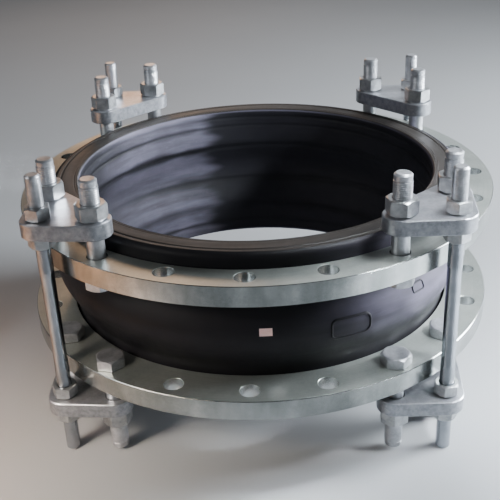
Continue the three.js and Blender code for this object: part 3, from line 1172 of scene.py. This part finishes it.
def nut_mesh(name, across, bore, height):
    """A hexagon nut above 0, chamfered at both ends, with a washer face under it."""
    flat = across / 2 * 0.96
    ease = 1.2 * MM

    def section(angle):
        reach = hexagon_reach(angle, across)
        drop = max(LEAST_CHAMFER, (reach - flat) * math.tan(NUT_CHAMFER_ANGLE))
        return [
            (bore + ease, 0),
            (flat * 0.9, 0),
            (flat * 0.9, NUT_STANDOFF * 0.7),
            (flat, NUT_STANDOFF),
            (reach, NUT_STANDOFF + drop),
            (reach, height - drop),
            (flat, height),
            (bore + ease, height),
            (bore, height - ease),
            (bore, ease),
        ]

    return lathe(name, section, hexagon_angles(), sharp=NUT_SHARP)


def thread_level(angle, height, pitch):
    """0 at a thread's crest and 1 at its root."""
    place = (height / pitch - angle / TAU) % 1
    share = abs(2 * place - 1)
    return share * share * (3 - 2 * share)


def thread_row(radius, pitch, depth, height, share):
    """A row of a thread that has share of its full profile."""

    def reach(angle):
        level = thread_level(angle, height, pitch)
        return radius - depth * (RUN_OUT_LEVEL + (level - RUN_OUT_LEVEL) * share)

    return (reach, height)


def threaded_end(radius, pitch, depth, start, end):
    """Rows of a threaded stretch, as (radius function, height) pairs. It runs out at both ends."""
    rows = []
    run_out = 1.5 * pitch
    for height in span(start, end, round((end - start) / pitch * THREAD_ROWS_A_TURN)):
        share = max(0.0, min(1.0, (height - start) / run_out, (end - height) / run_out))
        rows.append(thread_row(radius, pitch, depth, height, share))
    return rows


def flat_row(radius, height):
    """A row of the same radius all round."""
    return (lambda angle: radius, height)


def pointed_end(radius, tip):
    """From the last thread up: a fine groove, a plain point, a chamfer and the end face."""
    foot = tip - POINT_LENGTH
    groove_reach = radius - 1.3 * MM
    point_reach = radius - 0.6 * MM
    return [
        flat_row(groove_reach, foot + 0.4 * MM),
        flat_row(groove_reach, foot + 1.2 * MM),
        flat_row(point_reach, foot + 1.8 * MM),
        flat_row(point_reach, tip - END_CHAMFER),
        flat_row(point_reach - END_CHAMFER * 0.8, tip - 0.5 * MM),
        flat_row(radius - 1.1 * MM - END_CHAMFER, tip),
        flat_row(radius * 0.4, tip - 0.2 * MM),
        flat_row(0, tip - 0.2 * MM),
    ]


def bolt_mesh(length):
    """A bolt with its head below 0 and its shank up to length."""
    flat = BOLT_ACROSS / 2 * 0.95
    start = length - BOLT_THREAD_LENGTH
    shank_reach = BOLT_RADIUS - 0.2 * MM
    face = [
        (0, -BOLT_HEAD + 0.4 * MM),
        (flat * 0.62, -BOLT_HEAD + 0.4 * MM),
        (flat * 0.7, -BOLT_HEAD),
        (flat, -BOLT_HEAD),
    ]
    washer = [(flat, -0.7 * MM), (flat, 0), (BOLT_RADIUS + 1 * MM, 0)]
    shank = [(shank_reach, 1 * MM), (shank_reach, start - 1 * MM)]
    end = length - POINT_LENGTH
    rows = threaded_end(BOLT_RADIUS, BOLT_PITCH, BOLT_THREAD_DEPTH, start, end)
    rows += pointed_end(BOLT_RADIUS, length)

    def section(angle):
        reach = hexagon_reach(angle, BOLT_ACROSS)
        drop = max(LEAST_CHAMFER, (reach - flat) * math.tan(HEAD_CHAMFER_ANGLE))
        hexagon = [(reach, -BOLT_HEAD + drop), (reach, -0.8 * MM)]
        return face + hexagon + washer + shank + [(r(angle), z) for r, z in rows]

    return lathe("bolt", section, hexagon_angles(), ring=False, sharp=BOLT_SHARP)


def rod_mesh(length):
    """A tie rod: plain in the middle and threaded at both ends."""
    plain = ROD_RADIUS - 0.5 * MM
    thread = (ROD_RADIUS, ROD_PITCH, ROD_THREAD_DEPTH)
    rows = [
        flat_row(0, 0),
        flat_row(ROD_RADIUS - END_CHAMFER, 0),
        flat_row(ROD_RADIUS - 0.3 * MM, END_CHAMFER),
        *threaded_end(*thread, END_CHAMFER + 0.5 * MM, ROD_THREAD_LENGTH),
        flat_row(plain, ROD_THREAD_LENGTH + 1.5 * MM),
        flat_row(plain, length / 2),
        flat_row(plain, length - ROD_THREAD_LENGTH - 1.5 * MM),
        *threaded_end(*thread, length - ROD_THREAD_LENGTH, length - END_CHAMFER - 0.5 * MM),
        flat_row(ROD_RADIUS - 0.3 * MM, length - END_CHAMFER),
        flat_row(ROD_RADIUS - END_CHAMFER, length),
        flat_row(0, length),
    ]

    def section(angle):
        return [(r(angle), z) for r, z in rows]

    rod = lathe("tie_rod", section, evenly(BAR_SIDES), ring=False, sharp=ROD_SHARP)
    only_material(rod, "rod")
    plate_top = high("upper_plate_1") - low("tie_rod_1")
    # The lower threaded end keeps the darker rod zinc as painted shade; only what stands above the
    # upper plate takes the lighter bolt zinc
    second_material(rod, "bolt", lambda face: face.center.z > plate_top)
    return rod


def standing(node, bottom, turn=0):
    """Upright on a CAD node's axis, turned by degrees."""
    x, y = axis_of(node)
    return Matrix.Translation((x, y, bottom)) @ Matrix.Rotation(math.radians(turn), 4, "Z")


def hanging(node, top, turn):
    """Head up and shank down, on a CAD node's axis."""
    return standing(node, top, turn) @ Matrix.Rotation(math.pi, 4, "X")


def fastener(name, mesh, material, body, nodes, place):
    piece(name, mesh, material, body, nodes, place)


def make_bolts():
    bolt = bolt_mesh(high("upper_bolt_1") - FLANGE_FOOT)
    nut = nut_mesh("bolt_nut", BOLT_ACROSS, BOLT_RADIUS + NUT_CLEARANCE, BOLT_NUT)
    flange_top = high("lower_flange")
    plate_top = high("upper_plate_1")
    nut_foot = low("lower_plate_1") - BOLT_NUT
    turns = zip(
        UPPER_BOLT_HEAD_TURNS,
        UPPER_BOLT_NUT_TURNS,
        LOWER_BOLT_HEAD_TURNS,
        LOWER_BOLT_NUT_TURNS,
    )
    for number, (head_up, nut_up, head_low, nut_low) in zip(BOLTS, turns):
        upper = f"upper_bolt_{number}"
        upper_nut = f"upper_bolt_nut_{number}"
        lower = f"lower_bolt_{number}"
        place = standing(upper, FLANGE_FOOT, head_up)
        fastener(f"flange_bolt_upper_{number}", bolt, "bolt", "upper_frame", [upper], place)
        place = standing(upper_nut, plate_top, nut_up)
        fastener(f"flange_bolt_nut_upper_{number}", nut, "nut", "upper_frame", [upper_nut], place)
        place = hanging(lower, flange_top, head_low)
        fastener(f"flange_bolt_lower_{number}", bolt, "bolt", "lower_frame", [lower], place)
        place = standing(lower, nut_foot, nut_low)
        fastener(f"flange_bolt_nut_lower_{number}", nut, "nut", "lower_frame", [], place)


def make_rods():
    rod = rod_mesh(high("tie_rod_1") - low("tie_rod_1"))
    height = high("upper_rod_nut_outer_1") - low("upper_rod_nut_outer_1")
    rod_nut = nut_mesh("rod_nut", ROD_ACROSS, ROD_RADIUS + NUT_CLEARANCE, height)
    for unit in UNITS:
        node = f"tie_rod_{unit}"
        fastener(f"rod_{unit}", rod, "rod", "lower_frame", [node], standing(node, low(node)))
        feet = {
            "upper_rod_nut_outer": high(f"upper_plate_{unit}"),
            "upper_rod_nut_inner": low(f"upper_plate_{unit}") - height,
            "lower_rod_nut_outer": low(f"lower_plate_{unit}") - height,
            "lower_rod_nut_inner": high(f"lower_plate_{unit}"),
        }
        for name, foot in feet.items():
            nut = f"{name}_{unit}"
            body = f"rod_nuts_{unit}" if name.startswith("upper") else "lower_frame"
            place = standing(nut, foot, ROD_NUT_TURNS[name][unit - 1])
            fastener(f"tie_{nut}", rod_nut, "nut", body, [nut], place)


# --- Camera, light and floor ---


def add_camera():
    data = bpy.data.cameras.new("camera")
    data.sensor_width = CAMERA_SENSOR
    data.lens = CAMERA_LENS
    data.clip_end = CAMERA_REACH
    camera = new_object("camera", data)
    heading = Matrix.Rotation(math.radians(CAMERA_HEADING), 4, "Z")
    tilt = Matrix.Rotation(math.radians(CAMERA_TILT), 4, "X")
    roll = Matrix.Rotation(math.radians(CAMERA_ROLL), 4, "Z")
    camera.matrix_world = Matrix.Translation(CAMERA_PLACE) @ heading @ tilt @ roll
    bpy.context.scene.camera = camera


def add_light(name, at, target, size, power, tint, spread):
    data = bpy.data.lights.new(name, "AREA")
    data.shape = "RECTANGLE"
    data.size, data.size_y = size
    data.energy = power
    data.color = tint
    data.spread = math.radians(spread)
    light = new_object(name, data)
    light.location = at
    light.rotation_mode = "QUATERNION"
    light.rotation_quaternion = (Vector(target) - Vector(at)).to_track_quat("-Z", "Y")


def add_studio():
    for light in LIGHTS:
        add_light(*light)
    world = bpy.data.worlds.new("studio")
    world.use_nodes = True
    background = world.node_tree.nodes["Background"]
    background.inputs["Color"].default_value = colour(*SKY)
    background.inputs["Strength"].default_value = SKY_STRENGTH
    bpy.context.scene.world = world


def add_floor():
    far = FLOOR_REACH
    corners = [(-far, -far, 0), (far, -far, 0), (far, far, 0), (-far, far, 0)]
    mesh = finished_mesh("floor", corners, [(0, 1, 2, 3)])
    mesh.materials.append(MATERIALS["floor"])
    new_object("floor", mesh)


add_camera()
make_bellows()
make_flanges()
make_plates()
make_bolts()
make_rods()
add_studio()
add_floor()
